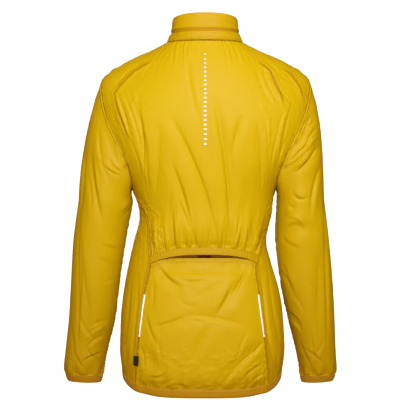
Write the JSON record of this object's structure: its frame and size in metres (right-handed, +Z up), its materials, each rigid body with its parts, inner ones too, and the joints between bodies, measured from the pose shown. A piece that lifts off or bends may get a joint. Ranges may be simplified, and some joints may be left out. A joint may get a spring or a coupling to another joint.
{
  "type": "windbreaker jacket",
  "caption": "Light zip-front windbreaker in its worn shape: stand collar, set-in sleeves with elastic cuffs, back vent under an elastic casing, dropped tail.",
  "frame": {"origin": "middle of the neck opening at the height of the collar seam, where the wearer's neck and shoulders carry the jacket", "axes": "+Z up, the front with its zip towards -Y, the back towards +Y, the wearer's left arm towards +X"},
  "size_m": [0.5538, 0.2427, 0.7541],
  "materials": {
    "cloth_yellow": "thin woven nylon, soft sheen, slightly see-through",
    "binding_yellow": "elastic binding covered in the same nylon",
    "zip_yellow": "dyed zip tape and coil",
    "zip_metal_yellow": "painted, semi-gloss",
    "reflective_silver": "reflective film, satin",
    "label_black": "woven tape, matte"
  },
  "bodies": {
    "jacket": {"back_upper": "cloth_yellow", "vent_band": "binding_yellow", "back_lower": "cloth_yellow", "front_left": "cloth_yellow", "front_right": "cloth_yellow", "sleeve_left_upper": "cloth_yellow", "sleeve_left_lower": "cloth_yellow", "sleeve_right_upper": "cloth_yellow", "sleeve_right_lower": "cloth_yellow", "cuff_left": "binding_yellow", "cuff_right": "binding_yellow", "collar": "cloth_yellow", "hem_band": "binding_yellow", "reflector_left": "reflective_silver", "reflector_right": "reflective_silver", "label": "label_black", "zip_strip": "zip_yellow", "zip_slider": "zip_metal_yellow"},
    "pull": {"zip_pull": "zip_metal_yellow"}
  },
  "joints": [
    {"name": "pull_swing", "type": "hinge", "parent": "jacket", "child": "pull", "pos_m": [0, -0.06876, 0.005], "axis": [-1, 0, 0], "range_deg": [0, 150]}
  ]
}
